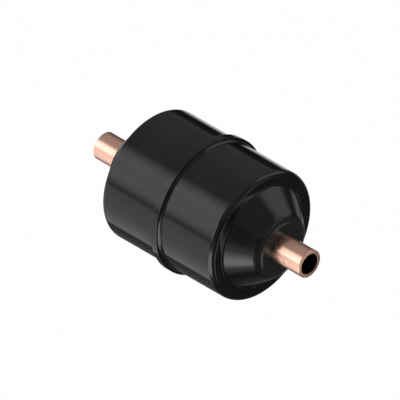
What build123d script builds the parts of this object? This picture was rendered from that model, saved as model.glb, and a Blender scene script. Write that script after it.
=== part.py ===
from build123d import *
from math import atan2, cos, pi, radians, sin, tan
import os

# Filter drier for a refrigerant liquid line, in millimetres.
# The axis of the body is X. Refrigerant enters at -X and leaves at +X, and +Z is up.
# The origin is on the axis, half way between the two tube mouths.

# Shell: two drawn steel cups, one pushed into the expanded mouth of the other
shell_radius = 31.2
shell_wall = 1.75
end_x = 34.2
end_corner_radius = 2.4
shoulder_width = 6.6
cone_base_fillet = 1.6
cone_angle = 41.0
nose_radius = 13.9
nose_rounding = 2.5

# Lap joint in the middle of the body
lip_x = 1.75
lap_length = 2.4
lap_clearance = 0.05
flare_start_x = -2.9
flare_end_x = -1.9
flare_bend_radius = 0.3
flare_corner_radius = 0.6
lip_edge_radius = 0.3
weld_leg = 1.1
weld_height = 0.85

# Solder sockets
tube_radius = 6.65
tube_bore_radius = 4.45
tube_reach = 17.0
tube_inner_length = 5.6
tip_edge_radius = 0.35
socket_radius = 4.8
socket_depth = 7.9
socket_chamfer = 0.25
stake_ball_radius = 0.8
stake_depth = 0.45
stake_reach = 0.6
stake_setback = 0.2

# Joint of each socket to its nose
braze_clearance = 0.05
nose_hole_bend = 0.8
collar_wall = 1.35
collar_length = 2.6
collar_root_radius = 0.9

# Support plate and filter layers at the outlet
support_plate_clearance = 0.1
support_plate_wall = 1.0
support_plate_rise = 3.4
support_plate_bend = 1.6
support_hole_radius = 1.9
support_hole_pitch = 6.2
support_hole_rings = 3
screen_thickness = 0.5
screen_inset = 1.2
pad_clearance = 0.3
fibre_pad_thickness = 3.0
outlet_felt_thickness = 1.5

# Desiccant core
core_length = 45.0
core_clearance = 3.25
core_draft = 0.8
core_end_radius = 3.0
core_bore_radius = 6.0
core_bore_draft = 0.6
core_bore_depth = 32.0
rib_count = 6
rib_width = 4.5
rib_length = 30.0
rib_clearance = 0.3
seal_ring_width = 4.5
seal_ring_height = 6.0
seal_ring_clearance = 0.05

# Inlet felt, spring plate and spring
inlet_felt_thickness = 2.0
inlet_felt_inset = 1.0
spring_plate_wall = 1.0
spring_plate_height = 3.6
spring_plate_bend = 1.8
spring_plate_clearance = 0.9
plate_hole_radius = 2.6
plate_hole_count = 8
plate_hole_circle = 12.0
plate_centre_hole = 4.0
spring_wire_radius = 0.85
spring_large_radius = 19.5
spring_small_clearance = 0.2
spring_half_turns = 7
spring_end_closing = 0.75

# Sizes that follow from the ones above
cone_base_radius = shell_radius - shoulder_width
nose_x = end_x + (cone_base_radius - nose_radius) / tan(radians(cone_angle))
wall_mitre = shell_wall * tan(radians(45.0 - cone_angle / 2.0))
shell_bore = shell_radius - shell_wall
inner_corner_radius = end_corner_radius - shell_wall
mouth_bore = shell_radius + lap_clearance
mouth_radius = mouth_bore + shell_wall
flare_slope = atan2(mouth_bore - shell_bore, flare_end_x - flare_start_x)
flare_mitre = shell_wall * tan(flare_slope / 2)
outlet_edge_x = lip_x - lap_length
seat_x = end_x - shell_wall
inner_nose_x = nose_x - shell_wall
nose_hole_radius = tube_radius + braze_clearance
collar_radius = nose_hole_radius + collar_wall
collar_tip_x = inner_nose_x - collar_length
tube_tip_x = nose_x + tube_reach
tube_end_x = nose_x - tube_inner_length
socket_end_x = tube_tip_x - socket_depth
stake_x = socket_end_x - stake_setback - stake_reach

core_radius = shell_bore - core_clearance
pad_radius = shell_bore - pad_clearance
support_plate_radius = shell_bore - inner_corner_radius - support_plate_clearance
support_face_x = seat_x - support_plate_rise
screen_face_x = support_face_x - screen_thickness
pad_face_x = screen_face_x - fibre_pad_thickness
core_seat_x = pad_face_x - outlet_felt_thickness
core_inlet_x = core_seat_x - core_length
felt_face_x = core_inlet_x - inlet_felt_thickness
spring_seat_x = felt_face_x - spring_plate_wall
seal_bore_radius = shell_bore - seal_ring_clearance - seal_ring_height
spring_plate_bore = spring_large_radius + spring_wire_radius + spring_plate_clearance
spring_plate_radius = spring_plate_bore + spring_plate_wall
spring_small_radius = collar_radius + collar_root_radius + spring_wire_radius + spring_small_clearance

os.makedirs("parts", exist_ok=True)


def turned_section(corners, side=1):
    """Half section of a turned or drawn piece, from corners of (x, radius, bend radius)."""
    with BuildSketch(Plane.XY) as section:
        with BuildLine():
            FilletPolyline(
                *[(side * x, radius) for x, radius, bend in corners],
                radius=[bend for x, radius, bend in corners],
                close=True,
            )
        make_face()
    return section.sketch


def cone_end_outside():
    """Outer corners of a cup's end, from the body to the tip of the collar round the tube."""
    return [
        (end_x, shell_radius, end_corner_radius),
        (end_x, cone_base_radius, cone_base_fillet),
        (nose_x, nose_radius, nose_rounding),
        (nose_x, nose_hole_radius, nose_hole_bend),
        (collar_tip_x, nose_hole_radius, 0),
    ]


def cone_end_inside():
    """Inner corners of a cup's end, from the tip of the collar back to the body."""
    return [
        (collar_tip_x, collar_radius, 0),
        (inner_nose_x, collar_radius, collar_root_radius),
        (inner_nose_x, nose_radius - wall_mitre, nose_rounding - shell_wall),
        (seat_x, cone_base_radius - wall_mitre, cone_base_fillet + shell_wall),
        (seat_x, shell_bore, inner_corner_radius),
    ]


def polar_rings(rings, pitch):
    """Centres of a hole pattern: one in the middle, then rings of 6, 12, 18 and so on."""
    centres = [(0, 0)]
    for ring in range(1, rings + 1):
        for hole in range(6 * ring):
            turn = radians(hole * 60.0 / ring)
            centres.append((ring * pitch * cos(turn), ring * pitch * sin(turn)))
    return centres


# The front cup has a plain cut edge, which stops short of the flare of the rear one.
with BuildPart() as outlet_shell:
    outlet_cut_edge = [(outlet_edge_x, shell_bore, 0), (outlet_edge_x, shell_radius, 0)]
    revolve(turned_section(outlet_cut_edge + cone_end_outside() + cone_end_inside()), axis=Axis.X)
outlet_shell.part.label = "outlet_shell"

# The rear cup has the same end, and its mouth is expanded to take the front one.
with BuildPart() as inlet_shell:
    expanded_mouth = [
        (-flare_start_x - flare_mitre, shell_bore, flare_bend_radius + shell_wall),
        (-flare_end_x - flare_mitre, mouth_bore, flare_bend_radius),
        (-lip_x, mouth_bore, 0),
        (-lip_x, mouth_radius, lip_edge_radius),
        (-flare_end_x, mouth_radius, flare_corner_radius),
        (-flare_start_x, shell_radius, flare_bend_radius),
    ]
    revolve(
        turned_section(expanded_mouth + cone_end_outside() + cone_end_inside(), side=-1),
        axis=Axis.X,
    )
inlet_shell.part.label = "inlet_shell"

# The weld fills the corner between the lip and the front cup.
with BuildPart() as girth_weld:
    with BuildSketch(Plane.XY):
        with BuildLine():
            weld_toe = (lip_x + weld_leg, shell_radius)
            weld_crown = (lip_x, shell_radius + weld_height)
            Line((lip_x, shell_radius), weld_toe)
            SagittaArc(weld_toe, weld_crown, -weld_height / 6)
            Line(weld_crown, (lip_x, shell_radius))
        make_face()
    revolve(axis=Axis.X)
girth_weld.part.label = "girth_weld"

# Each copper socket is reamed to its depth, and two opposite stakes behind that stop the pipe.
with BuildPart() as outlet_tube:
    socket_corners = [
        (tube_end_x, tube_bore_radius, 0),
        (tube_end_x, tube_radius, 0),
        (tube_tip_x, tube_radius, tip_edge_radius),
        (tube_tip_x, socket_radius + socket_chamfer, 0),
        (tube_tip_x - socket_chamfer, socket_radius, 0),
        (socket_end_x, socket_radius, 0),
        (socket_end_x, tube_bore_radius, 0),
    ]
    revolve(turned_section(socket_corners), axis=Axis.X)
    with Locations((stake_x, tube_bore_radius, 0), (stake_x, -tube_bore_radius, 0)):
        Sphere(stake_reach)
    stake_centre = tube_radius + stake_ball_radius - stake_depth
    with Locations((stake_x, stake_centre, 0), (stake_x, -stake_centre, 0)):
        Sphere(stake_ball_radius, mode=Mode.SUBTRACT)
outlet_tube.part.label = "outlet_tube"

with BuildPart() as inlet_tube:
    mirror(outlet_tube.part, about=Plane.YZ)
inlet_tube.part.label = "inlet_tube"

# The braze fills the bend of the nose hole and ends in a hollow fillet against the tube.
with BuildPart() as outlet_braze_ring:
    with BuildSketch(Plane.XY):
        with BuildLine():
            bend_centre = (nose_x - nose_hole_bend, nose_hole_radius + nose_hole_bend)
            fillet_radius = braze_clearance + nose_hole_bend
            nose_bend = CenterArc(bend_centre, nose_hole_bend, -90, 90)
            face = CenterArc((nose_x + fillet_radius, bend_centre[1]), fillet_radius, 180, 90)
            tube_side = Line(face @ 1, (bend_centre[0], tube_radius))
            Line(tube_side @ 1, nose_bend @ 0)
        make_face()
    revolve(axis=Axis.X)
outlet_braze_ring.part.label = "outlet_braze_ring"

with BuildPart() as inlet_braze_ring:
    mirror(outlet_braze_ring.part, about=Plane.YZ)
inlet_braze_ring.part.label = "inlet_braze_ring"

# The support plate is a shallow pressed pan whose rim stands on the front cup's shoulder.
with BuildPart() as support_plate:
    support_corners = [
        (support_face_x, 0, 0),
        (support_face_x, support_plate_radius, support_plate_bend),
        (seat_x, support_plate_radius, 0),
        (seat_x, support_plate_radius - support_plate_wall, 0),
        (
            support_face_x + support_plate_wall,
            support_plate_radius - support_plate_wall,
            support_plate_bend - support_plate_wall,
        ),
        (support_face_x + support_plate_wall, 0, 0),
    ]
    revolve(turned_section(support_corners), axis=Axis.X)
    with BuildSketch(Plane.YZ.offset(support_face_x)):
        with Locations(*polar_rings(support_hole_rings, support_hole_pitch)):
            Circle(support_hole_radius)
    extrude(amount=support_plate_wall, mode=Mode.SUBTRACT)
support_plate.part.label = "support_plate"

# Woven wire disc: the weave is far finer than the disc is thick, so it is one thin disc here.
with BuildPart() as wire_screen:
    with BuildSketch(Plane.YZ.offset(screen_face_x)):
        Circle(support_plate_radius - screen_inset)
    extrude(amount=screen_thickness)
wire_screen.part.label = "wire_screen"

with BuildPart() as fibre_pad:
    with BuildSketch(Plane.YZ.offset(pad_face_x)):
        Circle(pad_radius)
    extrude(amount=fibre_pad_thickness)
fibre_pad.part.label = "fibre_pad"

with BuildPart() as outlet_felt:
    with BuildSketch(Plane.YZ.offset(core_seat_x)):
        Circle(pad_radius)
    extrude(amount=outlet_felt_thickness)
outlet_felt.part.label = "outlet_felt"

# The core is moulded with draft, ribs that centre it, a step for its seal ring and a blind bore.
with BuildPart() as desiccant_core:
    bore_end_x = core_seat_x - core_bore_depth
    core_corners = [
        (core_inlet_x, 0, 0),
        (core_inlet_x, core_radius - core_draft, core_end_radius),
        (core_seat_x - seal_ring_width, core_radius, 0),
        (core_seat_x - seal_ring_width, seal_bore_radius, 0),
        (core_seat_x, seal_bore_radius, 0),
        (core_seat_x, core_bore_radius, 0),
        (bore_end_x, core_bore_radius - core_bore_draft, core_bore_radius / 2),
        (bore_end_x, 0, 0),
    ]
    revolve(turned_section(core_corners), axis=Axis.X)
    rib_start_x = core_inlet_x + (core_length - seal_ring_width - rib_length) / 2
    rib_reach = shell_bore - rib_clearance
    with BuildSketch(Plane.YZ.offset(rib_start_x)) as rib_section:
        with PolarLocations(0, rib_count):
            Rectangle(rib_reach, rib_width, align=(Align.MIN, Align.CENTER))
        Circle(rib_reach, mode=Mode.INTERSECT)
        Circle(core_radius - core_draft - rib_width / 4, mode=Mode.SUBTRACT)
    extrude(amount=rib_length)
desiccant_core.part.label = "desiccant_core"

with BuildPart() as core_seal_ring:
    with BuildSketch(Plane.YZ.offset(core_seat_x - seal_ring_width)):
        Circle(shell_bore - seal_ring_clearance)
        Circle(seal_bore_radius, mode=Mode.SUBTRACT)
    extrude(amount=seal_ring_width)
core_seal_ring.part.label = "core_seal_ring"

with BuildPart() as inlet_felt:
    with BuildSketch(Plane.YZ.offset(felt_face_x)):
        Circle(spring_plate_radius + inlet_felt_inset)
    extrude(amount=inlet_felt_thickness)
inlet_felt.part.label = "inlet_felt"

# The spring plate is a pressed dish: its turned-up rim keeps the spring's large end centred.
with BuildPart() as spring_plate:
    spring_plate_corners = [
        (felt_face_x, 0, 0),
        (felt_face_x, spring_plate_radius, spring_plate_bend),
        (felt_face_x - spring_plate_height, spring_plate_radius, 0),
        (felt_face_x - spring_plate_height, spring_plate_bore, 0),
        (spring_seat_x, spring_plate_bore, spring_plate_bend - spring_plate_wall),
        (spring_seat_x, 0, 0),
    ]
    revolve(turned_section(spring_plate_corners), axis=Axis.X)
    with BuildSketch(Plane.YZ.offset(spring_seat_x)):
        Circle(plate_centre_hole)
        with PolarLocations(plate_hole_circle, plate_hole_count):
            Circle(plate_hole_radius)
    extrude(amount=spring_plate_wall, mode=Mode.SUBTRACT)
spring_plate.part.label = "spring_plate"

# The conical spring stands round the collar in the rear nose. Its end turns are closed up and
# ground flat, so the pitch grows from each end to the middle. Each half turn is one arc, from
# above the axis to below it or back, and the arcs meet in line at their ends.
spring_length = spring_seat_x + inner_nose_x


def spring_point(half_turn):
    """Middle of the wire after so many half turns, counted from the small end."""
    share = half_turn / spring_half_turns
    rise = share - spring_end_closing * sin(2 * pi * share) / (2 * pi)
    coil_radius = spring_small_radius + share * (spring_large_radius - spring_small_radius)
    side = 1 - 2 * (half_turn % 2)
    return Vector(rise * spring_length - inner_nose_x, 0, side * coil_radius)


with BuildPart() as core_spring:
    for half_turn in range(spring_half_turns):
        coil_centre = (spring_point(half_turn) + spring_point(half_turn + 1)) / 2
        reach = spring_point(half_turn) - coil_centre
        way_round = Vector(0, 1 - 2 * (half_turn % 2), 0)
        with BuildSketch(Plane(origin=spring_point(half_turn), z_dir=way_round)):
            Circle(spring_wire_radius)
        revolve(axis=Axis(coil_centre, reach.cross(way_round)), revolution_arc=180)
    with BuildSketch(Plane.YZ.offset(-inner_nose_x)):
        Circle(shell_bore)
    extrude(amount=spring_length, mode=Mode.INTERSECT)
core_spring.part.label = "core_spring"

export_step(inlet_shell.part, "parts/inlet_shell.step")
export_step(outlet_shell.part, "parts/outlet_shell.step")
export_step(girth_weld.part, "parts/girth_weld.step")
export_step(inlet_tube.part, "parts/inlet_tube.step")
export_step(outlet_tube.part, "parts/outlet_tube.step")
export_step(inlet_braze_ring.part, "parts/inlet_braze_ring.step")
export_step(outlet_braze_ring.part, "parts/outlet_braze_ring.step")
export_step(core_spring.part, "parts/core_spring.step")
export_step(spring_plate.part, "parts/spring_plate.step")
export_step(inlet_felt.part, "parts/inlet_felt.step")
export_step(desiccant_core.part, "parts/desiccant_core.step")
export_step(core_seal_ring.part, "parts/core_seal_ring.step")
export_step(outlet_felt.part, "parts/outlet_felt.step")
export_step(fibre_pad.part, "parts/fibre_pad.step")
export_step(wire_screen.part, "parts/wire_screen.step")
export_step(support_plate.part, "parts/support_plate.step")
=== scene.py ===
import logging
import math
from dataclasses import dataclass, field
from enum import Enum
from typing import Callable, Iterable, Optional

import bmesh
import bpy
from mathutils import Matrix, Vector, noise


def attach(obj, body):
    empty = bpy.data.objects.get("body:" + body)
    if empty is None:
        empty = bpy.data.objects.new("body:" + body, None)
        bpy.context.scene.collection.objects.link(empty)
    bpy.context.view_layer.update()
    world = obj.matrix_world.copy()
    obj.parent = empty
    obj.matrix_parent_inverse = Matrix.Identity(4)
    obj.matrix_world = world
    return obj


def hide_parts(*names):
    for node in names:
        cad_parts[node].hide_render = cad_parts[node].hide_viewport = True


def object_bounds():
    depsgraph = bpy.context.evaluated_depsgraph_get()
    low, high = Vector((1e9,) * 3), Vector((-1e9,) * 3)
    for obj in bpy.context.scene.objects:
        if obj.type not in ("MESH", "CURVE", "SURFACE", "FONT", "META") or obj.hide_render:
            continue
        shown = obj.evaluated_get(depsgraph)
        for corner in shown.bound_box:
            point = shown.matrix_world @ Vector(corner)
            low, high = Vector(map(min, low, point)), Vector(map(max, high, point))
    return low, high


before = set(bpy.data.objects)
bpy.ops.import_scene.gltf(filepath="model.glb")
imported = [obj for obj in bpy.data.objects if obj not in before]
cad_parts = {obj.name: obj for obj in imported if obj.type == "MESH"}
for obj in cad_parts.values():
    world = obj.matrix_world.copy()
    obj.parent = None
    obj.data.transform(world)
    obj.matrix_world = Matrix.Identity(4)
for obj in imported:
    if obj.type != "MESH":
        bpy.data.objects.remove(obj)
CAD_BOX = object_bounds()

LOG = logging.getLogger("filter_drier")
MM = 0.001  # a millimetre in the frame's metres
MERGE = 1e-4  # corners nearer than this, in millimetres, become one
FULL_BEND = 0.999  # share of an edge that a bend takes up where it should take all of it
SHARP_BEND = 35.0  # degrees past which an edge of a made piece shades sharp
Corner = tuple[float, float, float]
Vector3 = tuple[float, float, float]
Colour = tuple[float, float, float, float]
Range = tuple[float, float]
Draft = bmesh.types.BMesh
Material = bpy.types.Material
Piece = bpy.types.Object
Socket = bpy.types.NodeSocket
Shaping = Callable[[Draft], None]


class Side(Enum):
    """End of the drier that a piece belongs to, as the sign of its X."""

    INLET = -1
    OUTLET = 1


class PaintSlot(Enum):
    """Material slots of the record."""

    BLACK = "black_paint"
    COPPER = "copper"
    SPRING = "spring_steel"
    PLATED = "plated_steel"
    FELT = "felt"
    DESICCANT = "desiccant"
    FIBRE = "glass_fibre"
    MESH = "stainless_mesh"


# ---- shader building


class NodeBench:
    """Builds the node tree of one material or world, and joins nodes by name."""

    def __init__(self, owner: bpy.types.ID) -> None:
        """Clears the owner's tree.

        Args:
            owner: material or world whose nodes are rebuilt.
        """
        owner.use_nodes = True
        self.tree = owner.node_tree
        self.tree.nodes.clear()

    def add(self, kind: str, values: Optional[dict[str, object]] = None,
            **settings: object) -> bpy.types.Node:
        """Adds a node.

        Args:
            kind: Blender's type name without its ShaderNode prefix.
            values: what its inputs are fed, under their names.
            settings: attributes set on the node.

        Returns:
            The new node.
        """
        node = self.tree.nodes.new("ShaderNode" + kind)
        for name, value in settings.items():
            setattr(node, name, value)
        for name, value in (values or {}).items():
            self.feed(node.inputs[name], value)
        return node

    def feed(self, socket: Socket, value: object) -> None:
        """Joins an output to an input, or sets the input's own value.

        Args:
            socket: the input.
            value: an output socket, or a number or colour.
        """
        if isinstance(value, Socket):
            self.tree.links.new(value, socket)
        else:
            socket.default_value = value

    def math(self, operation: str, *values: object, clamp: bool = False) -> Socket:
        """Adds a Math node.

        Args:
            operation: Blender's name of the operation.
            values: its inputs, as outputs of other nodes or numbers.
            clamp: whether the result is kept between 0 and 1.

        Returns:
            The node's output.
        """
        node = self.add("Math", operation=operation, use_clamp=clamp)
        for socket, value in zip(node.inputs, values):
            self.feed(socket, value)
        return node.outputs[0]

    def rise(self, value: object, low: float, high: float, to: Range = (0.0, 1.0)) -> Socket:
        """Maps a value between two limits onto a range, clamped and eased at both ends.

        Args:
            value: the output that is mapped.
            low: value that gives the first end of the range.
            high: value that gives its second end.
            to: the range.

        Returns:
            The mapped value.
        """
        node = self.add("MapRange", interpolation_type="SMOOTHSTEP")
        for socket, number in zip(node.inputs, (value, low, high, *to)):
            self.feed(socket, number)
        return node.outputs[0]

    def noise(self, vector: object, scale: float, detail: float = 2.0,
              roughness: float = 0.5) -> Socket:
        """Adds a Noise texture.

        Args:
            vector: coordinates it is read at.
            scale: cells per metre.
            detail: octaves.
            roughness: weight of the finer octaves.

        Returns:
            Its grey value.
        """
        node = self.add("TexNoise", {
            "Vector": vector, "Scale": scale, "Detail": detail, "Roughness": roughness,
        })
        return node.outputs["Fac"]

    def place(self, scale: Vector3 = (1.0, 1.0, 1.0),
              rotation: Vector3 = (0.0, 0.0, 0.0)) -> Socket:
        """Gives the object's own coordinates, stretched or turned.

        Args:
            scale: stretch along each axis.
            rotation: turn about each axis, in radians.

        Returns:
            The coordinates.
        """
        here = self.add("TexCoord").outputs["Object"]
        if scale == (1.0, 1.0, 1.0) and rotation == (0.0, 0.0, 0.0):
            return here
        mapping = self.add("Mapping", {"Vector": here, "Scale": scale, "Rotation": rotation})
        return mapping.outputs["Vector"]

    def blend(self, share: object, first: object, second: object) -> Socket:
        """Mixes two colours.

        Args:
            share: weight of the second.
            first: colour at 0.
            second: colour at 1.

        Returns:
            The mixed colour.
        """
        node = self.add("Mix", {"Factor": share}, data_type="RGBA")
        # A Mix node has a pair of inputs for each kind of value; 6 and 7 are the colours.
        self.feed(node.inputs[6], first)
        self.feed(node.inputs[7], second)
        return node.outputs[2]

    def mix(self, share: object, first: object, second: object) -> Socket:
        """Mixes two shaders.

        Args:
            share: weight of the second.
            first: shader at 0.
            second: shader at 1.

        Returns:
            The mixed shader.
        """
        node = self.add("MixShader")
        for socket, value in zip(node.inputs, (share, first, second)):
            self.feed(socket, value)
        return node.outputs[0]

    def bump(self, height: object, distance: float, under: object = None) -> Socket:
        """Adds a Bump node.

        Args:
            height: grey height.
            distance: height in metres that the grey value stands for.
            under: normal that it is laid over, if any.

        Returns:
            The changed normal.
        """
        node = self.add("Bump", {"Height": height, "Distance": distance, "Strength": 1.0})
        if under is not None:
            self.feed(node.inputs["Normal"], under)
        return node.outputs["Normal"]

    def split(self, vector: object) -> dict[str, Socket]:
        """Splits a vector.

        Args:
            vector: output that gives it.

        Returns:
            Its parts, under X, Y and Z.
        """
        node = self.add("SeparateXYZ")
        self.feed(node.inputs[0], vector)
        return {axis: node.outputs[axis] for axis in "XYZ"}

    def surface(self, shader: Socket, output: str = "OutputMaterial") -> None:
        """Joins a shader to the output.

        Args:
            shader: the finished shader.
            output: kind of output node.
        """
        self.feed(self.add(output).inputs["Surface"], shader)


def rgb(red: float, green: float, blue: float) -> Colour:
    """Gives an opaque linear colour.

    Args:
        red: red share.
        green: green share.
        blue: blue share.

    Returns:
        The colour with full alpha.
    """
    return (red, green, blue, 1.0)


@dataclass(frozen=True)
class GlossEnamel:
    """Stoved black enamel over drawn steel: a smooth clear surface over a near-black ground, made
    lighter on each nose as a painted reflection.
    """

    name: str = "gloss_black_enamel"
    ground: Colour = rgb(0.0042, 0.0042, 0.0044)
    ground_worn: Colour = rgb(0.0065, 0.0064, 0.0064)
    worn_range: Range = (0.35, 0.7)
    worn_scale: float = 90.0
    # painted reflection: a lighter ground on the noses stands in for the brighter reflection there
    painted_nose_reflection: Colour = rgb(0.0135, 0.0132, 0.0130)
    nose_reflection_start: float = 0.0448
    nose_reflection_end: float = 0.0462
    roughness: float = 0.055
    roughness_spread: float = 0.02
    roughness_range: Range = (0.25, 0.75)
    roughness_scale: float = 1400.0
    peel_scale: float = 700.0
    peel_height: float = 1.5e-6
    index: float = 1.45

    def make(self) -> Material:
        """Builds the material.

        Returns:
            The material.
        """
        material = bpy.data.materials.new(self.name)
        bench = NodeBench(material)
        here = bench.place()
        worn = bench.rise(bench.noise(here, self.worn_scale, 3.0, 0.55), *self.worn_range)
        ground = bench.blend(worn, self.ground, self.ground_worn)
        # painted reflection: past this distance from the middle, on the noses, the ground turns
        # lighter
        along = bench.math("ABSOLUTE", bench.split(here)["X"])
        nose_reflection = bench.rise(along, self.nose_reflection_start, self.nose_reflection_end)
        low = self.roughness - self.roughness_spread
        high = self.roughness + self.roughness_spread
        fine = bench.noise(here, self.roughness_scale)
        peel = bench.noise(here, self.peel_scale, 1.0, 0.4)
        shader = bench.add("BsdfPrincipled", {
            "Base Color": bench.blend(nose_reflection, ground, self.painted_nose_reflection),
            "Roughness": bench.rise(fine, *self.roughness_range, (low, high)),
            "Normal": bench.bump(peel, self.peel_height),
            "IOR": self.index,
        })
        bench.surface(shader.outputs[0])
        return material


@dataclass(frozen=True)
class DrawnCopper:
    """Bright drawn copper tube, with drawing lines along it and a darker tint beside the braze,
    partly heat tint and partly painted shade where the nose shades the tube.

    Lengths are in metres. The tint and painted shade are read from the distance to the middle of
    the drier, and a near-black painted shade lies inside a radius, in the bore.
    """

    name: str = "drawn_copper"
    bright: Colour = rgb(0.98, 0.59, 0.46)
    dull: Colour = rgb(0.96, 0.56, 0.435)
    dull_range: Range = (0.35, 0.75)
    dull_scale: float = 220.0
    # partly heat tint, partly painted shade: the copper darkens next to the nose, where the nose
    # shades the tube's root
    heat_tint_and_shade: Colour = rgb(0.62, 0.33, 0.23)
    tint_and_shade_start: float = 0.0487
    tint_and_shade_end: float = 0.0466
    tint_and_shade_wander: float = 0.0002
    tint_and_shade_share: float = 0.9
    # painted shade: everything inside this radius, the bore and socket, is near-black and stands in
    # for the shade deep in the tube
    bore_shade: Colour = rgb(0.016, 0.008, 0.006)
    bore_shade_radius: float = 0.0050
    bore_shade_edge: float = 0.00015
    bore_roughness: float = 0.45
    roughness: float = 0.27
    smoother: float = 0.006
    rougher: float = 0.012
    line_scale: float = 2600.0
    line_stretch: Vector3 = (0.02, 1.0, 1.0)
    line_range: Range = (0.3, 0.7)
    line_height: float = 0.04e-6

    def make(self) -> Material:
        """Builds the material.

        Returns:
            The material.
        """
        material = bpy.data.materials.new(self.name)
        bench = NodeBench(material)
        here = bench.place()
        parts = bench.split(here)
        cloud = bench.noise(here, self.dull_scale, 3.0, 0.6)
        metal = bench.blend(bench.rise(cloud, *self.dull_range), self.bright, self.dull)
        # painted shade with heat tint: the copper darkens towards the nose, where the nose shades
        # the tube
        wander = bench.math("SUBTRACT", cloud, 0.5)
        reach = bench.math("ABSOLUTE", parts["X"])
        reach = bench.math("MULTIPLY_ADD", wander, self.tint_and_shade_wander, reach)
        tint_and_shade = bench.rise(reach, self.tint_and_shade_start, self.tint_and_shade_end)
        metal = bench.blend(bench.math("MULTIPLY", tint_and_shade, self.tint_and_shade_share), metal, self.heat_tint_and_shade)
        # painted shade: the bore inside a radius turns near-black
        across = bench.math("MULTIPLY", parts["Y"], parts["Y"])
        across = bench.math("SQRT", bench.math("MULTIPLY_ADD", parts["Z"], parts["Z"], across))
        outer, inner = self.bore_shade_radius + self.bore_shade_edge, self.bore_shade_radius - self.bore_shade_edge
        inside = bench.rise(across, outer, inner)
        lines = bench.noise(bench.place(self.line_stretch), self.line_scale, 2.0, 0.6)
        low, high = self.roughness - self.smoother, self.roughness + self.rougher
        sheen = bench.rise(lines, *self.line_range, (low, high))
        shader = bench.add("BsdfPrincipled", {
            "Base Color": bench.blend(inside, metal, self.bore_shade),
            "Metallic": 1.0,
            "Roughness": bench.math("MULTIPLY_ADD", inside, self.bore_roughness, sheen),
            "Normal": bench.bump(lines, self.line_height),
        })
        bench.surface(shader.outputs[0])
        return material


@dataclass(frozen=True)
class BareSteel:
    """Bright steel wire or sheet, with fine scratches and a faint stain."""

    name: str
    bright: Colour
    dull: Colour
    roughness: float
    grain: float
    smoother: float = 0.07
    rougher: float = 0.08
    scratch_range: Range = (0.3, 0.7)
    scratch_height: float = 4e-6
    stain_scale: float = 160.0
    stain_range: Range = (0.35, 0.7)

    def make(self) -> Material:
        """Builds the material.

        Returns:
            The material.
        """
        material = bpy.data.materials.new(self.name)
        bench = NodeBench(material)
        here = bench.place()
        scratches = bench.noise(here, self.grain, 3.0, 0.65)
        stain = bench.rise(bench.noise(here, self.stain_scale, 4.0, 0.6), *self.stain_range)
        low, high = self.roughness - self.smoother, self.roughness + self.rougher
        shader = bench.add("BsdfPrincipled", {
            "Base Color": bench.blend(stain, self.bright, self.dull),
            "Metallic": 1.0,
            "Roughness": bench.rise(scratches, *self.scratch_range, (low, high)),
            "Normal": bench.bump(scratches, self.scratch_height),
        })
        bench.surface(shader.outputs[0])
        return material


@dataclass(frozen=True)
class FibreMat:
    """Felt or loose fibre: matt, tangled threads that lie across the disc in two directions."""

    name: str
    pale: Colour
    dark: Colour
    thread_scale: float
    thread_height: float
    first_way: Vector3 = (1.0, 0.15, 1.0)
    first_turn: Vector3 = (0.5, 0.0, 0.0)
    second_way: Vector3 = (1.0, 1.0, 0.15)
    second_turn: Vector3 = (-0.7, 0.0, 0.0)
    shade_range: Range = (0.4, 0.72)
    tone_scale: float = 260.0
    tone_range: Range = (0.2, 0.8)
    tone_low: float = 0.7
    rough_range: Range = (0.3, 0.8)
    roughness: Range = (0.95, 0.8)
    sheen: float = 0.35
    sheen_roughness: float = 0.5

    def make(self) -> Material:
        """Builds the material.

        Returns:
            The material.
        """
        material = bpy.data.materials.new(self.name)
        bench = NodeBench(material)
        first = bench.place(self.first_way, self.first_turn)
        second = bench.place(self.second_way, self.second_turn)
        threads = bench.math(
            "MAXIMUM",
            bench.noise(first, self.thread_scale, 3.0, 0.7),
            bench.noise(second, self.thread_scale, 3.0, 0.7),
        )
        tone = bench.noise(bench.place(), self.tone_scale)
        tone = bench.rise(tone, *self.tone_range, (self.tone_low, 1.0))
        shade = bench.math("MULTIPLY", bench.rise(threads, *self.shade_range), tone)
        shader = bench.add("BsdfPrincipled", {
            "Base Color": bench.blend(shade, self.dark, self.pale),
            "Roughness": bench.rise(threads, *self.rough_range, self.roughness),
            "Normal": bench.bump(threads, self.thread_height),
            "Sheen Weight": self.sheen,
            "Sheen Roughness": self.sheen_roughness,
        })
        bench.surface(shader.outputs[0])
        return material


@dataclass(frozen=True)
class BondedBeads:
    """Moulded desiccant: beads and powder bonded into a matt block."""

    name: str = "bonded_desiccant"
    bead: Colour = rgb(0.70, 0.62, 0.52)
    binder: Colour = rgb(0.50, 0.42, 0.34)
    bead_scale: float = 900.0
    bead_range: Range = (0.25, 0.7)
    bead_height: float = 6e-5
    roughness: Range = (0.78, 0.95)
    speck_scale: float = 2400.0
    speck_range: Range = (0.55, 0.8)
    speck_share: float = 0.5
    speck_height: float = 1e-5

    def make(self) -> Material:
        """Builds the material.

        Returns:
            The material.
        """
        material = bpy.data.materials.new(self.name)
        bench = NodeBench(material)
        here = bench.place()
        cells = bench.add("TexVoronoi", {"Vector": here, "Scale": self.bead_scale})
        gap = bench.rise(cells.outputs["Distance"], *self.bead_range)
        speck = bench.noise(here, self.speck_scale, 2.0, 0.6)
        powder = bench.rise(speck, *self.speck_range, (0.0, self.speck_share))
        share = bench.math("ADD", gap, powder, clamp=True)
        under = bench.bump(speck, self.speck_height)
        height = bench.math("SUBTRACT", 1.0, gap)
        shader = bench.add("BsdfPrincipled", {
            "Base Color": bench.blend(share, self.bead, self.binder),
            "Roughness": bench.rise(gap, 0.0, 1.0, self.roughness),
            "Normal": bench.bump(height, self.bead_height, under),
        })
        bench.surface(shader.outputs[0])
        return material


# ---- mesh building


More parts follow.
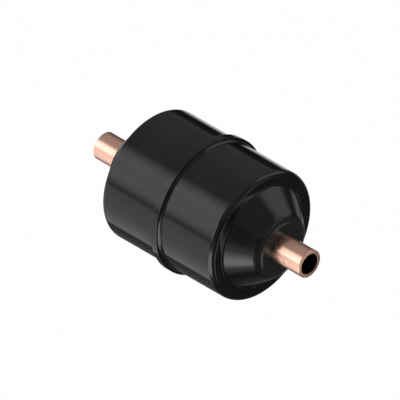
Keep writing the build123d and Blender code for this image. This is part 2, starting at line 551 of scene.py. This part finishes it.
def turned_wire(bm: Draft, corners: Iterable[Corner], closed: bool, bend_steps: int) -> None:
    """Draws a half section in the XZ plane and rounds its corners.

    Args:
        bm: empty bmesh that takes the wire.
        corners: (x, radius, bend radius) of each corner, in millimetres.
        closed: whether the last corner joins the first.
        bend_steps: edges along each rounded corner.
    """
    corners = list(corners)
    points = [Vector((x, 0.0, r)) for x, r, bend in corners]
    verts = [bm.verts.new(point) for point in points]
    for first, second in zip(verts, verts[1:]):
        bm.edges.new((first, second))
    if closed:
        bm.edges.new((verts[-1], verts[0]))
    count = len(corners)
    for index, (x, r, bend) in enumerate(corners):
        if bend <= 0.0:
            continue
        before = (points[index - 1] - points[index]).normalized()
        after = (points[(index + 1) % count] - points[index]).normalized()
        turn = math.pi - before.angle(after)
        bmesh.ops.bevel(bm, geom=[verts[index]], offset=bend * math.tan(turn / 2),
                        offset_type="OFFSET", segments=bend_steps, profile=0.5,
                        affect="VERTICES", material=-1)


def finish_mesh(bm: Draft, name: str, sharp_angle: float = SHARP_BEND) -> Piece:
    """Closes a bmesh drawn in millimetres and makes it an object in metres.

    Args:
        bm: the finished bmesh, freed here.
        name: name of the object and its mesh.
        sharp_angle: angle in degrees past which an edge shades sharp.

    Returns:
        The object, at the origin.
    """
    bmesh.ops.remove_doubles(bm, verts=bm.verts[:], dist=MERGE)
    bmesh.ops.dissolve_degenerate(bm, dist=MERGE / 10, edges=bm.edges[:])
    bmesh.ops.recalc_face_normals(bm, faces=bm.faces[:])
    bmesh.ops.scale(bm, vec=(MM, MM, MM), verts=bm.verts[:])
    for face in bm.faces:
        face.smooth = True
    mesh = bpy.data.meshes.new(name)
    bm.to_mesh(mesh)
    bm.free()
    mesh.set_sharp_from_angle(angle=math.radians(sharp_angle))
    piece = bpy.data.objects.new(name, mesh)
    bpy.context.scene.collection.objects.link(piece)
    return piece


def turned_piece(name: str, corners: Iterable[Corner], steps: int, bend_steps: int = 8,
                 closed: bool = True, shape: Optional[Shaping] = None) -> Piece:
    """Makes a turned or drawn piece from its half section.

    Args:
        name: name of the piece.
        corners: (x, radius, bend radius) of each corner, in millimetres.
        steps: faces round the turn.
        bend_steps: edges along each rounded corner.
        closed: whether the section's last corner joins the first.
        shape: further shaping, done on the spun bmesh.

    Returns:
        The object.
    """
    bm = bmesh.new()
    turned_wire(bm, corners, closed, bend_steps)
    bmesh.ops.spin(bm, geom=bm.verts[:] + bm.edges[:], cent=(0.0, 0.0, 0.0),
                   axis=(1.0, 0.0, 0.0), dvec=(0.0, 0.0, 0.0), angle=math.tau, steps=steps,
                   use_merge=True, use_duplicate=False)
    bmesh.ops.remove_doubles(bm, verts=bm.verts[:], dist=MERGE)
    if shape is not None:
        shape(bm)
    piece = finish_mesh(bm, name)
    modifier = piece.modifiers.new("even_shading", "WEIGHTED_NORMAL")
    modifier.keep_sharp = True
    modifier.weight = 100
    return piece


def dress(piece: Piece, material: Material, node: str) -> None:
    """Gives a piece its finish, its body and the node it stands for.

    Args:
        piece: the piece.
        material: its finish.
        node: CAD node that it replaces.
    """
    piece.data.materials.clear()
    piece.data.materials.append(material)
    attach(piece, "root")
    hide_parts(node)
    LOG.info("%s: %d faces for %s", piece.name, len(piece.data.polygons), node)


def merged_copy(node: str, name: str, sharp_angle: float = 30.0) -> Piece:
    """Copies a CAD node and joins its loose triangles.

    Args:
        node: name of the CAD node.
        name: name of the copy.
        sharp_angle: angle in degrees past which an edge shades sharp.

    Returns:
        The copy as a smooth-shaded object.
    """
    bm = bmesh.new()
    bm.from_mesh(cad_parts[node].data)
    bmesh.ops.scale(bm, vec=(1 / MM, 1 / MM, 1 / MM), verts=bm.verts[:])
    bmesh.ops.remove_doubles(bm, verts=bm.verts[:], dist=2 * MERGE)
    return finish_mesh(bm, name, sharp_angle)


# ---- shell


@dataclass
class DrawnShell:
    """The two drawn steel cups, the weld between them and the braze round each nose.

    Sizes are in millimetres and degrees. The ends and noses are given by their distance from the
    middle of the drier, and what belongs to the girth joint by its own X.
    """

    radius: float = 31.2
    wall: float = 1.75
    end_x: float = 34.2
    end_bend: float = 2.4
    shoulder: float = 6.6
    cone_foot_bend: float = 1.6
    cone_angle: float = 39.8
    nose_x: float = 46.509
    nose_bend: float = 6.0
    hole_radius: float = 6.7
    hole_bend: float = 0.8
    collar_wall: float = 1.35
    collar_length: float = 2.6
    collar_root: float = 0.9
    lip_x: float = 1.75
    lap: float = 2.4
    lap_gap: float = 0.05
    flare_start: float = -2.9
    flare_end: float = -1.9
    flare_bend: float = 0.3
    flare_corner: float = 0.6
    lip_edge: float = 0.3
    weld_leg: float = 1.1
    weld_height: float = 0.85
    weld_face: Range = (0.52, 0.60)
    weld_bend: float = 1.2
    ripple_count: int = 62
    ripple_slant: float = 1.3
    ripple_height: float = 0.035
    ripple_sink: float = 0.02
    ripple_fade: float = 0.3
    ripple_edge: float = 0.05
    tube_radius: float = 6.65
    braze_rise: float = 0.3
    steps: int = 256
    weld_steps: int = 744
    weld_bend_steps: int = 6
    braze_steps: int = 192
    cone_foot: float = field(init=False)
    nose_radius: float = field(init=False)
    bore: float = field(init=False)

    def __post_init__(self) -> None:
        """Works out the sizes that follow from the others."""
        slope = math.tan(math.radians(self.cone_angle))
        self.cone_foot = self.radius - self.shoulder
        self.nose_radius = self.cone_foot - (self.nose_x - self.end_x) * slope
        self.bore = self.radius - self.wall

    def end_outside(self) -> list[Corner]:
        """Draws the outside of a cup's end.

        Returns:
            Its corners, from the body to the collar's tip.
        """
        return [
            (self.end_x, self.radius, self.end_bend),
            (self.end_x, self.cone_foot, self.cone_foot_bend),
            (self.nose_x, self.nose_radius, self.nose_bend),
            (self.nose_x, self.hole_radius, self.hole_bend),
            (self.nose_x - self.wall - self.collar_length, self.hole_radius, 0.0),
        ]

    def end_inside(self) -> list[Corner]:
        """Draws the inside of a cup's end.

        Returns:
            Its corners, from the collar's tip back to the body.
        """
        mitre = self.wall * math.tan(math.radians(45.0 - self.cone_angle / 2.0))
        inner_nose = self.nose_x - self.wall
        collar = self.hole_radius + self.collar_wall
        return [
            (inner_nose - self.collar_length, collar, 0.0),
            (inner_nose, collar, self.collar_root),
            (inner_nose, self.nose_radius - mitre, self.nose_bend - self.wall),
            (self.end_x - self.wall, self.cone_foot - mitre, self.cone_foot_bend + self.wall),
            (self.end_x - self.wall, self.bore, self.end_bend - self.wall),
        ]

    def front_cup(self) -> Piece:
        """Makes the cup whose plain edge goes into the other.

        Returns:
            The outlet's cup.
        """
        edge_x = self.lip_x - self.lap
        corners = [
            (edge_x, self.bore, 0.0),
            (edge_x, self.radius, 0.0),
            *self.end_outside(),
            *self.end_inside(),
        ]
        return turned_piece("outlet_cup", corners, self.steps)

    def rear_cup(self) -> Piece:
        """Makes the cup whose mouth is expanded over the other.

        Returns:
            The inlet's cup.
        """
        mouth_bore = self.radius + self.lap_gap
        mouth = mouth_bore + self.wall
        slope = math.atan2(mouth_bore - self.bore, self.flare_end - self.flare_start)
        mitre = self.wall * math.tan(slope / 2)
        corners = [
            (-self.flare_start - mitre, self.bore, self.flare_bend + self.wall),
            (-self.flare_end - mitre, mouth_bore, self.flare_bend),
            (-self.lip_x, mouth_bore, 0.0),
            (-self.lip_x, mouth, self.lip_edge),
            (-self.flare_end, mouth, self.flare_corner),
            (-self.flare_start, self.radius, self.flare_bend),
            *self.end_outside(),
            *self.end_inside(),
        ]
        return turned_piece("inlet_cup", [(-x, r, bend) for x, r, bend in corners], self.steps)

    def ripple(self, bm: Draft) -> None:
        """Raises and lowers the face of the weld along its run.

        Args:
            bm: the spun weld.
        """
        for vert in bm.verts:
            r = math.hypot(vert.co.y, vert.co.z)
            lift = r - self.radius
            if lift < self.ripple_edge or vert.co.x < self.lip_x + self.ripple_edge:
                continue
            turn = math.atan2(vert.co.z, vert.co.y)
            phase = turn * self.ripple_count + vert.co.x * self.ripple_slant
            wave = self.ripple_height * abs(math.sin(phase)) - self.ripple_sink
            scale = (r + wave * min(1.0, lift / self.ripple_fade)) / r
            vert.co.y *= scale
            vert.co.z *= scale

    def weld(self) -> Piece:
        """Makes the weld run, with the faint ripple of its travel.

        Returns:
            The weld.
        """
        out, up = self.weld_face
        corners = [
            (self.lip_x, self.radius, 0.0),
            (self.lip_x, self.radius + self.weld_height, 0.0),
            (self.lip_x + out * self.weld_leg, self.radius + up * self.weld_height, self.weld_bend),
            (self.lip_x + self.weld_leg, self.radius, 0.0),
        ]
        return turned_piece("girth_bead", corners, self.weld_steps, self.weld_bend_steps,
                            shape=self.ripple)

    def braze(self, side: Side) -> Piece:
        """Makes the braze fillet between a nose and its socket.

        Args:
            side: the end it is at.

        Returns:
            The fillet ring.
        """
        root_x = self.nose_x - self.hole_bend
        corners = [
            (self.nose_x + self.braze_rise, self.tube_radius, 0.0),
            (root_x, self.tube_radius, 0.0),
            (root_x, self.hole_radius, 0.0),
            (self.nose_x, self.hole_radius, self.hole_bend * FULL_BEND),
            (self.nose_x, self.hole_radius + self.hole_bend, 0.0),
            (self.nose_x, self.tube_radius, self.braze_rise * FULL_BEND),
        ]
        corners = [(side.value * x, r, bend) for x, r, bend in corners]
        return turned_piece(f"{side.name.lower()}_braze_fillet", corners, self.braze_steps)

    def build(self, enamel: Material) -> None:
        """Makes and dresses every piece of the shell.

        Args:
            enamel: finish of the cups, the weld and the braze.
        """
        dress(self.front_cup(), enamel, "outlet_shell")
        dress(self.rear_cup(), enamel, "inlet_shell")
        dress(self.weld(), enamel, "girth_weld")
        for side in Side:
            dress(self.braze(side), enamel, f"{side.name.lower()}_braze_ring")


# ---- solder sockets


@dataclass
class SolderSockets:
    """The two copper sockets, each reamed to a stop and staked on two sides, in millimetres."""

    outer: float = 6.65
    bore: float = 4.45
    socket: float = 4.8
    tip_x: float = 63.509
    depth: float = 7.9
    inner_length: float = 22.6
    tip_edge: float = 0.35
    chamfer: float = 0.25
    stake_ball: float = 0.8
    stake_depth: float = 0.45
    stake_reach: float = 0.6
    stake_setback: float = 0.2
    stake_zone: float = 1.2
    stake_rim: float = 0.05
    stake_rim_radius: float = 0.80
    stake_rim_width: float = 0.12
    row: float = 0.1
    rows_aside: int = 10
    on_surface: float = 1e-3
    steps: int = 320
    bend_steps: int = 6
    stop_x: float = field(init=False)
    stake_x: float = field(init=False)

    def __post_init__(self) -> None:
        """Works out where the stop and the stakes are."""
        self.stop_x = self.tip_x - self.depth
        self.stake_x = self.stop_x - self.stake_setback - self.stake_reach

    def section(self) -> list[Corner]:
        """Draws the half section, with close rows of corners at the stakes.

        Returns:
            Its corners.
        """
        start_x = self.tip_x - self.inner_length
        steps = range(-self.rows_aside, self.rows_aside + 1)
        rows = [self.stake_x + self.row * step for step in steps]
        outside = [(x, self.outer, 0.0) for x in rows]
        kept = [x for x in reversed(rows) if x < self.stop_x - self.row / 2]
        inside = [(x, self.bore, 0.0) for x in kept]
        return [
            (start_x, self.bore, 0.0),
            (start_x, self.outer, 0.0),
            *outside,
            (self.tip_x, self.outer, self.tip_edge),
            (self.tip_x, self.socket + self.chamfer, 0.0),
            (self.tip_x - self.chamfer, self.socket, 0.0),
            (self.stop_x, self.socket, 0.0),
            (self.stop_x, self.bore, 0.0),
            *inside,
        ]

    def stake(self, bm: Draft) -> None:
        """Presses the dimples in from outside and raises the bumps inside.

        Args:
            bm: the spun socket, at the outlet's side.
        """
        for vert in bm.verts:
            r = math.hypot(vert.co.y, vert.co.z)
            aside = math.hypot(vert.co.x - self.stake_x, vert.co.z)
            if aside > self.stake_zone:
                continue
            if abs(r - self.outer) < self.on_surface:
                flank = math.sqrt(max(0.0, self.stake_ball ** 2 - aside ** 2))
                sink = max(0.0, flank - (self.stake_ball - self.stake_depth))
                off_rim = (aside - self.stake_rim_radius) / self.stake_rim_width
                change = -sink if sink > 0.0 else self.stake_rim * math.exp(-(off_rim ** 2))
            elif abs(r - self.bore) < self.on_surface:
                change = -math.sqrt(max(0.0, self.stake_reach ** 2 - aside ** 2))
            else:
                continue
            vert.co.y *= (r + change) / r
            vert.co.z *= (r + change) / r

    def make(self, side: Side) -> Piece:
        """Makes one socket.

        Args:
            side: the end it is at.

        Returns:
            The socket.
        """

        def shape(bm: Draft) -> None:
            """Stakes the socket and turns it to its end."""
            self.stake(bm)
            bmesh.ops.scale(bm, vec=(side.value, 1.0, 1.0), verts=bm.verts[:])

        name = f"{side.name.lower()}_socket"
        return turned_piece(name, self.section(), self.steps, self.bend_steps, shape=shape)

    def build(self, copper: Material) -> None:
        """Makes and dresses both sockets.

        Args:
            copper: their finish.
        """
        for side in Side:
            dress(self.make(side), copper, f"{side.name.lower()}_tube")


# ---- inside


@dataclass(frozen=True)
class SoftDisc:
    """A felt or fibre disc or ring, in millimetres.

    Crown is how far the faces fall off at the rim, dent is the depth of their unevenness, and
    fill is how tightly the piece is packed, which nothing here uses. The unevenness has a broad
    and a close pattern, each with its size and its share.
    """

    node: str
    slot: PaintSlot
    low_x: float
    high_x: float
    outer: float
    inner: float
    rim: float
    crown: float
    dent: float
    fill: float
    steps: int = 224
    rim_steps: int = 5
    row: float = 0.9
    flat_start: float = 1.6
    broad: float = 7.0
    broad_share: float = 0.32
    close: float = 1.7
    close_share: float = 0.18
    edge_pull: float = 0.6

    def section(self) -> list[Corner]:
        """Draws the half section, with rows of corners across both faces.

        Returns:
            Its corners, which close on themselves for a ring and end on the axis for a disc.
        """
        first = self.inner + (self.flat_start * self.rim if self.inner > 0.0 else 0.0)
        last = self.outer - self.flat_start * self.rim
        count = round((last - first) / self.row)
        rows = [first + (last - first) * step / count for step in range(count + 1)]
        edge = [(self.low_x, self.outer, self.rim), (self.high_x, self.outer, self.rim)]
        hole = [(self.high_x, self.inner, self.rim), (self.low_x, self.inner, self.rim)]
        return [
            *[(self.low_x, r, 0.0) for r in rows],
            *edge,
            *[(self.high_x, r, 0.0) for r in reversed(rows)],
            *(hole if self.inner > 0.0 else []),
        ]

    def settle(self, bm: Draft) -> None:
        """Crowns the faces and gives them the unevenness of matted fibre, always inwards.

        Args:
            bm: the spun disc.
        """
        middle = (self.low_x + self.high_x) / 2.0
        crest = (self.inner + self.outer) / 2.0 if self.inner > 0.0 else 0.0
        for vert in bm.verts:
            r = math.hypot(vert.co.y, vert.co.z)
            away = min(1.0, abs(r - crest) / (self.outer - crest))
            broad = noise.noise(vert.co / self.broad)
            close = noise.noise(vert.co / self.close)
            uneven = 0.5 + self.broad_share * broad + self.close_share * close
            sink = self.crown * away ** 4 + self.dent * max(0.0, min(1.0, uneven))
            side = (vert.co.x - middle) / (self.high_x - self.low_x) * 2.0
            vert.co.x -= side * sink
            if r > self.outer - self.rim:
                share = self.edge_pull * max(0.0, min(1.0, 0.5 + broad))
                pull = (r - share * self.dent) / r
                vert.co.y *= pull
                vert.co.z *= pull

    def make(self) -> Piece:
        """Returns:
            The disc.
        """
        piece = turned_piece(self.node + "_mat", self.section(), self.steps, self.rim_steps,
                             closed=self.inner > 0.0, shape=self.settle)
        return piece


@dataclass
class WovenScreen:
    """Plain-woven wire disc, in millimetres."""

    middle_x: float = 28.8
    radius: float = 27.4
    wire: float = 0.12
    pitch: float = 1.3
    points_per_cell: int = 3
    fewest_points: int = 4
    sharp_angle: float = 60.0

    def strand(self, curve: bpy.types.Curve, index: int, across: bool) -> None:
        """Adds one wire, which goes over and under the wires that cross it.

        Args:
            curve: curve that takes the wire.
            index: number of the wire, counted from the middle.
            across: whether it runs along Y instead of Z.
        """
        aside = index * self.pitch
        half = math.sqrt((self.radius - self.wire) ** 2 - aside ** 2)
        count = max(self.fewest_points, round(2.0 * half / self.pitch * self.points_per_cell))
        spline = curve.splines.new("POLY")
        spline.points.add(count)
        for number, point in enumerate(spline.points):
            along = -half + 2.0 * half * number / count
            wave = self.wire * math.cos(math.pi * (along / self.pitch + index))
            x = self.middle_x + (wave if across else -wave)
            y, z = (along, aside) if across else (aside, along)
            point.co = (x * MM, y * MM, z * MM, 1.0)

    def make(self) -> Piece:
        """Weaves the screen.

        Returns:
            The screen as a mesh.
        """
        curve = bpy.data.curves.new("screen_wires", "CURVE")
        curve.dimensions = "3D"
        curve.bevel_depth = self.wire * MM
        curve.bevel_resolution = 0
        curve.use_fill_caps = True
        reach = int((self.radius - self.wire) / self.pitch)
        for index in range(-reach, reach + 1):
            self.strand(curve, index, True)
            self.strand(curve, index, False)
        woven = bpy.data.objects.new("screen_wires", curve)
        bpy.context.scene.collection.objects.link(woven)
        mesh = bpy.data.meshes.new_from_object(woven)
        bpy.data.objects.remove(woven)
        bpy.data.curves.remove(curve)
        bm = bmesh.new()
        bm.from_mesh(mesh)
        bpy.data.meshes.remove(mesh)
        bmesh.ops.scale(bm, vec=(1 / MM, 1 / MM, 1 / MM), verts=bm.verts[:])
        return finish_mesh(bm, "woven_screen", self.sharp_angle)


@dataclass
class FilterBed:
    """What the sealed shell holds: spring, plates, felts, core, fibre pad and screen."""

    rigid: tuple[tuple[str, PaintSlot], ...] = (
        ("core_spring", PaintSlot.SPRING),
        ("spring_plate", PaintSlot.PLATED),
        ("support_plate", PaintSlot.PLATED),
        ("desiccant_core", PaintSlot.DESICCANT),
    )
    soft: tuple[SoftDisc, ...] = (
        SoftDisc("inlet_felt", PaintSlot.FELT, low_x=-22.95, high_x=-20.95, outer=23.25,
                 inner=0.0, rim=0.55, crown=0.10, dent=0.14, fill=0.8),
        SoftDisc("outlet_felt", PaintSlot.FELT, low_x=24.05, high_x=25.55, outer=29.15,
                 inner=0.0, rim=0.45, crown=0.08, dent=0.12, fill=0.8),
        SoftDisc("core_seal_ring", PaintSlot.FELT, low_x=19.55, high_x=24.05, outer=29.4,
                 inner=23.4, rim=0.9, crown=0.10, dent=0.14, fill=0.9),
        SoftDisc("fibre_pad", PaintSlot.FIBRE, low_x=25.55, high_x=28.55, outer=29.15,
                 inner=0.0, rim=1.1, crown=0.20, dent=0.34, fill=0.5),
    )

    def build(self, finishes: dict[PaintSlot, Material]) -> None:
        """Makes and dresses the inner pieces.

        Args:
            finishes: finish of each slot.
        """
        for node, slot in self.rigid:
            dress(merged_copy(node, node + "_piece"), finishes[slot], node)
        for disc in self.soft:
            dress(disc.make(), finishes[disc.slot], disc.node)
        dress(WovenScreen().make(), finishes[PaintSlot.MESH], "wire_screen")


# ---- studio


@dataclass(frozen=True)
class SoftWindow:
    """A bright, soft-edged panel of the light tent.

    Angles are in degrees round the X axis, from +Y towards +Z. Reach is the share of X in the
    direction from the middle of the tent, from -1 at the inlet's end to 1 at the outlet's. Each
    edge fades over its soft width. A strength under 0 takes light away.
    """

    name: str
    turn: float
    half_width: float
    soft: float
    reach: Range
    reach_soft: float
    strength: float

    def lit(self, bench: NodeBench, around: object, along: object) -> Socket:
        """Tells how much of the window shows in a direction.

        Args:
            bench: tree of the tent's material.
            around: unit direction across the X axis.
            along: share of X in the direction.

        Returns:
            1 inside the window, 0 outside it and between them on its edge.
        """
        middle = math.radians(self.turn)
        aim = bench.add("VectorMath", operation="DOT_PRODUCT", label=self.name)
        bench.feed(aim.inputs[0], around)
        bench.feed(aim.inputs[1], (0.0, math.cos(middle), math.sin(middle)))
        outer = math.cos(math.radians(self.half_width + self.soft / 2))
        inner = math.cos(math.radians(max(0.0, self.half_width - self.soft / 2)))
        shown = bench.rise(aim.outputs["Value"], outer, inner)
        low, high = self.reach
        after = bench.rise(along, low - self.reach_soft, low + self.reach_soft)
        before = bench.rise(along, high + self.reach_soft, high - self.reach_soft)
        return bench.math("MULTIPLY", bench.math("MULTIPLY", shown, after), before)


@dataclass(frozen=True)
class SoftLamp:
    """A square lamp that points at the object: its place and side in metres, its power in watts."""

    name: str
    place: Vector3
    size: float
    power: float

    def hang(self) -> None:
        """Puts the lamp into the scene."""
        light = bpy.data.lights.new(self.name, "AREA")
        light.shape = "SQUARE"
        light.size = self.size
        light.energy = self.power
        lamp = bpy.data.objects.new(self.name, light)
        lamp.location = self.place
        lamp.rotation_euler = (-Vector(self.place)).to_track_quat("-Z", "Y").to_euler()
        lamp.visible_glossy = False
        bpy.context.scene.collection.objects.link(lamp)


@dataclass
class Studio:
    """Floor, light tent, lamps, world and camera. Sizes are in metres and degrees."""

    floor_z: float = -1.15
    floor_size: float = 14.0
    floor_cells: int = 8
    tent_radius: float = 1.0
    tent_subdivisions: int = 5
    fill: float = 0.055
    windows: tuple[SoftWindow, ...] = (
        SoftWindow("dome", 79.0, 65.0, 10.0, (-1.2, 1.2), 0.1, 0.16),
        SoftWindow("dome_crown", 88.0, 45.0, 40.0, (-1.2, 0.45), 0.2, 0.11),
        SoftWindow("key", 150.0, 24.0, 28.0, (-1.2, -0.37), 0.04, 1.52),
        SoftWindow("key_low", 181.0, 32.0, 19.0, (-1.2, 0.75), 0.15, 0.12),
        SoftWindow("front_low", 222.25, 36.25, 8.0, (-1.2, -0.26), 0.012, 0.81),
        SoftWindow("front_edge", 243.0, 15.0, 24.0, (-1.2, -0.26), 0.012, 0.05),
        SoftWindow("front_strip", 214.0, 17.3, 16.5, (-0.34, 0.54), 0.07, 2.70),
        SoftWindow("strip_side", 218.0, 28.0, 16.0, (0.15, 0.75), 0.12, 0.24),
        SoftWindow("rear_window", 34.4, 22.7, 19.0, (0.21, 0.70), 0.36, 0.96),
        SoftWindow("rear_edge", 342.0, 7.0, 14.0, (-0.22, 0.1), 0.12, 0.35),
        SoftWindow("cone_side", 214.0, 31.0, 22.0, (0.31, 0.53), 0.5, 0.82),
        SoftWindow("under", 288.0, 25.0, 14.0, (-1.2, 0.1), 0.3, 0.07),
        SoftWindow("low_rear", 332.3, 12.0, 12.0, (-1.2, -0.4), 0.08, 0.69),
        SoftWindow("rear_dark", 356.0, 12.0, 8.0, (-1.2, -0.4), 0.1, -0.045),
        SoftWindow("end_glint", 310.0, 19.0, 24.0, (0.695, 0.86), 0.06, 1.15),
        SoftWindow("edge_glint", 165.0, 13.0, 10.0, (-0.42, -0.24), 0.04, 3.6),
    )
    lamps: tuple[SoftLamp, ...] = (
        SoftLamp("key_lamp", (-0.55, -0.65, 0.6), 0.6, 4.0),
        SoftLamp("rear_lamp", (0.5, 0.6, 0.45), 0.5, 1.5),
    )
    floor_dark: Colour = rgb(0.90, 0.90, 0.90)
    floor_light: Colour = rgb(0.93, 0.93, 0.93)
    floor_tone_scale: float = 3.0
    floor_white: float = 0.95
    world_light: float = 0.9
    frame_width: float = 0.1747
    camera_distance: float = 0.5
    camera_clip: Range = (0.01, 20.0)
    view_turn: float = 45.0
    view_rise: float = 35.2644
    shift_right: float = -0.00295
    shift_up: float = 0.00209

    def tent(self) -> None:
        """Makes the light tent, which only reflections see."""
        bm = bmesh.new()
        bmesh.ops.create_icosphere(bm, subdivisions=self.tent_subdivisions,
                                   radius=self.tent_radius / MM)
        tent = finish_mesh(bm, "light_tent")
        tent.data.materials.append(self.tent_light())
        for ray in ("camera", "diffuse", "transmission", "volume_scatter", "shadow"):
            setattr(tent, "visible_" + ray, False)

    def tent_light(self) -> Material:
        """Builds the tent's light, which is the fill and what each window adds to it.

        Returns:
            The material.
        """
        material = bpy.data.materials.new("tent_light")
        material.cycles.emission_sampling = "NONE"
        bench = NodeBench(material)
        unit = bench.add("VectorMath", operation="NORMALIZE")
        bench.feed(unit.inputs[0], bench.place())
        parts = bench.split(unit.outputs[0])
        flat = bench.add("CombineXYZ", {"Y": parts["Y"], "Z": parts["Z"]})
        around = bench.add("VectorMath", operation="NORMALIZE")
        bench.feed(around.inputs[0], flat.outputs[0])
        total: object = self.fill
        for window in self.windows:
            lit = window.lit(bench, around.outputs[0], parts["X"])
            total = bench.math("MULTIPLY_ADD", lit, window.strength, total)
        glow = bench.add("Emission", {"Strength": total})
        bench.surface(glow.outputs[0])
        return material

    def seen_directly(self, bench: NodeBench) -> Socket:
        """Tells camera, reflection and refraction rays from the rays that light the object.

        Args:
            bench: tree the node goes into.

        Returns:
            1 for a camera, glossy or transmission ray, else 0.
        """
        path = bench.add("LightPath")
        both = bench.math("MAXIMUM", path.outputs["Is Camera Ray"], path.outputs["Is Glossy Ray"])
        return bench.math("MAXIMUM", both, path.outputs["Is Transmission Ray"])

    def floor(self) -> None:
        """Makes the pale floor, which shows white and keeps the object's shadow."""
        bm = bmesh.new()
        bmesh.ops.create_grid(bm, x_segments=self.floor_cells, y_segments=self.floor_cells,
                              size=self.floor_size / 2 / MM)
        bmesh.ops.translate(bm, vec=(0.0, 0.0, self.floor_z / MM), verts=bm.verts[:])
        floor = finish_mesh(bm, "studio_floor")
        material = bpy.data.materials.new("pale_floor")
        bench = NodeBench(material)
        tone = bench.noise(bench.place(), self.floor_tone_scale)
        colour = bench.blend(tone, self.floor_dark, self.floor_light)
        matt = bench.add("BsdfDiffuse", {"Color": colour})
        white = bench.add("Emission", {"Strength": 1.0})
        share = bench.math("MULTIPLY", self.seen_directly(bench), self.floor_white)
        bench.surface(bench.mix(share, matt.outputs[0], white.outputs[0]))
        floor.data.materials.append(material)

    def world(self) -> None:
        """Lights the object evenly, and shows white behind it."""
        world = bpy.data.worlds.new("studio_air")
        bpy.context.scene.world = world
        bench = NodeBench(world)
        white = rgb(1.0, 1.0, 1.0)
        light, shown = (bench.add("Background", {"Color": white, "Strength": strength})
                        for strength in (self.world_light, 1.0))
        share = self.seen_directly(bench)
        bench.surface(bench.mix(share, light.outputs[0], shown.outputs[0]), "OutputWorld")

    def camera(self) -> None:
        """Sets the camera, which looks from the corner between +X, -Y and +Z."""
        low, high = (Vector(corner) for corner in CAD_BOX)
        turn, rise = math.radians(self.view_turn), math.radians(self.view_rise)
        flat = math.cos(rise)
        back = Vector((math.sin(turn) * flat, -math.cos(turn) * flat, math.sin(rise)))
        right = Vector((math.cos(turn), math.sin(turn), 0.0))
        up = back.cross(right)
        data = bpy.data.cameras.new("studio_camera")
        data.type = "ORTHO"
        data.ortho_scale = self.frame_width
        data.clip_start, data.clip_end = self.camera_clip
        camera = bpy.data.objects.new("studio_camera", data)
        aim = (low + high) / 2 + self.shift_right * right + self.shift_up * up
        camera.location = aim + back * self.camera_distance
        camera.rotation_euler = (math.pi / 2 - rise, 0.0, turn)
        bpy.context.scene.collection.objects.link(camera)
        bpy.context.scene.camera = camera

    def build(self) -> None:
        """Sets the whole studio."""
        self.tent()
        self.floor()
        self.world()
        for lamp in self.lamps:
            lamp.hang()
        self.camera()
        bpy.context.scene.view_settings.view_transform = "Standard"


def make_finishes() -> dict[PaintSlot, Material]:
    """Builds the finish of each slot.

    Returns:
        The materials by slot.
    """
    finishes = {
        PaintSlot.BLACK: GlossEnamel(),
        PaintSlot.COPPER: DrawnCopper(),
        PaintSlot.SPRING: BareSteel(
            "spring_wire_steel", rgb(0.42, 0.42, 0.43), rgb(0.30, 0.29, 0.28), 0.3, 1800.0
        ),
        PaintSlot.PLATED: BareSteel(
            "zinc_plated_steel", rgb(0.62, 0.62, 0.60), rgb(0.50, 0.50, 0.46), 0.38, 1200.0
        ),
        PaintSlot.FELT: FibreMat(
            "needled_felt", rgb(0.82, 0.80, 0.74), rgb(0.60, 0.57, 0.50), 2600.0, 6e-5
        ),
        PaintSlot.DESICCANT: BondedBeads(),
        PaintSlot.FIBRE: FibreMat(
            "glass_fibre_mat", rgb(0.92, 0.86, 0.60), rgb(0.70, 0.60, 0.34), 3200.0, 8e-5
        ),
        PaintSlot.MESH: BareSteel(
            "stainless_wire", rgb(0.60, 0.60, 0.60), rgb(0.48, 0.48, 0.47), 0.28, 2400.0
        ),
    }
    return {slot: finish.make() for slot, finish in finishes.items()}


def main() -> None:
    """Builds the drier and its studio."""
    logging.basicConfig(level=logging.INFO, format="%(name)s %(message)s")
    finishes = make_finishes()
    DrawnShell().build(finishes[PaintSlot.BLACK])
    SolderSockets().build(finishes[PaintSlot.COPPER])
    FilterBed().build(finishes)
    Studio().build()


if __name__ == "__main__":
    main()
